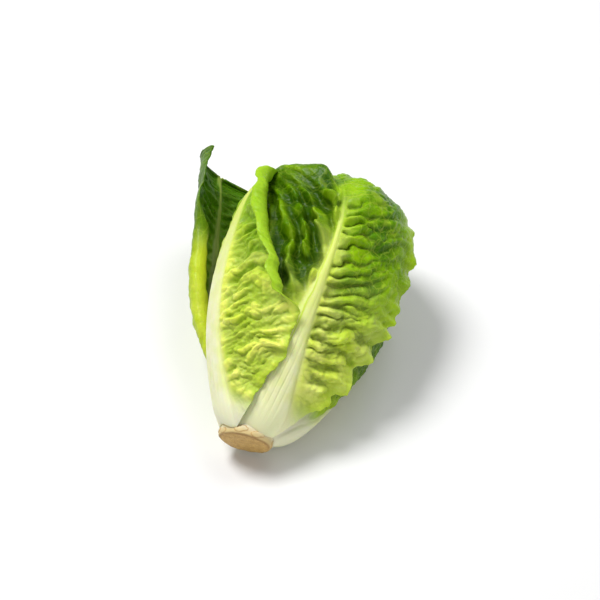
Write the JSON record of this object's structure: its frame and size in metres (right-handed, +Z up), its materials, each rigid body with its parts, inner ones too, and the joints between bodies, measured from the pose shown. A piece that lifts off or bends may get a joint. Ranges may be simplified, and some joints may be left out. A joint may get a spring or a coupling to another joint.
{
  "type": "head of lettuce",
  "caption": "Short upright lettuce head lying on its back: cupped leaves with pale midribs wrapped round a cut stem.",
  "frame": {"origin": "middle of the head's footprint, on the surface it lies on", "axes": "+Y from the cut stem towards the leaf tips, +X to the right seen from above with the stem nearest, +Z up"},
  "size_m": [0.117, 0.1438, 0.0847],
  "materials": {
    "leaf_outer": "waxy fresh green leaf, slightly glossy",
    "leaf_inner": "waxy pale green leaf",
    "leaf_heart": "tender yellow-green leaf",
    "stem": "dry tan cut face, ivory sides"
  },
  "bodies": {
    "root": {"core_stem": "stem", "leaf_back": "leaf_outer", "leaf_left": "leaf_outer", "leaf_right": "leaf_outer", "leaf_right_inner": "leaf_outer", "leaf_front_left": "leaf_outer", "leaf_front_right": "leaf_outer", "leaf_inner_1": "leaf_inner", "leaf_inner_2": "leaf_inner", "leaf_inner_3": "leaf_inner", "leaf_inner_4": "leaf_inner", "leaf_heart_1": "leaf_heart", "leaf_heart_2": "leaf_heart", "leaf_heart_3": "leaf_heart"}
  },
  "joints": []
}
